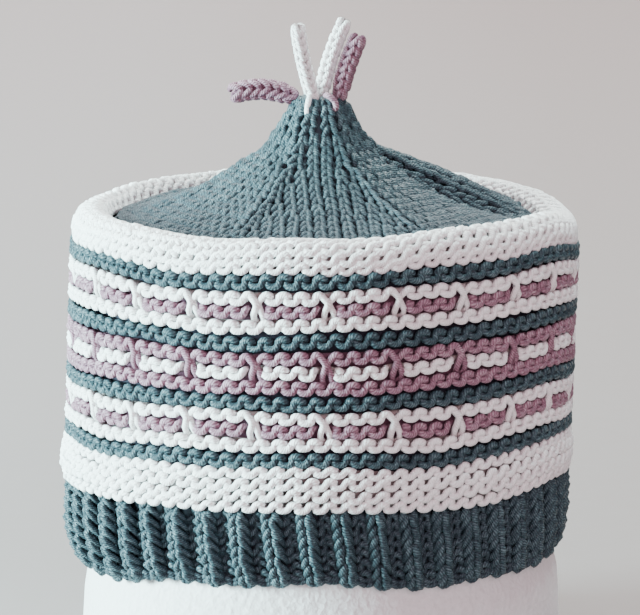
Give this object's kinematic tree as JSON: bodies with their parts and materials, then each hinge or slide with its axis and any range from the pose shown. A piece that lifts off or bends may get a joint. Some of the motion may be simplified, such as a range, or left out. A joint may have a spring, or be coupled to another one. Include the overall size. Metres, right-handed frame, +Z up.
{
  "type": "knitted nightcap on a display stand",
  "caption": "Hand-knitted cap with a ribbed hem, slip-stitch stripes, a rolled edge and a pointed crown ending in short cords, pulled over a plain cloth-covered cylinder.",
  "frame": {"origin": "centre of the whole at the stand's foot", "axes": "+Z up along the stand, -Y is the front"},
  "size_m": [0.1636, 0.1618, 0.2025],
  "materials": {
    "yarn_sage": "matte cotton yarn, hand knitted",
    "yarn_cream": "matte cotton yarn, hand knitted",
    "yarn_mauve": "matte cotton yarn, hand knitted",
    "stand_cloth": "napped white cloth"
  },
  "bodies": {
    "root": {"display_stand": "stand_cloth", "ribbed_hem": "yarn_sage", "lower_band": "yarn_cream", "garter_ridge_1": "yarn_sage", "slipped_lower_ridges": "yarn_cream", "slipped_lower_blocks": "yarn_mauve", "garter_ridge_2": "yarn_sage", "slipped_middle_ridges": "yarn_mauve", "slipped_middle_blocks": "yarn_cream", "garter_ridge_3": "yarn_sage", "slipped_upper_ridges": "yarn_cream", "slipped_upper_blocks": "yarn_mauve", "garter_ridge_4": "yarn_sage", "rolled_edge": "yarn_cream", "crown": "yarn_sage", "mauve_cord_left": "yarn_mauve", "cream_cord_left": "yarn_cream", "cream_cord_right": "yarn_cream", "mauve_cord_right": "yarn_mauve"}
  },
  "joints": []
}
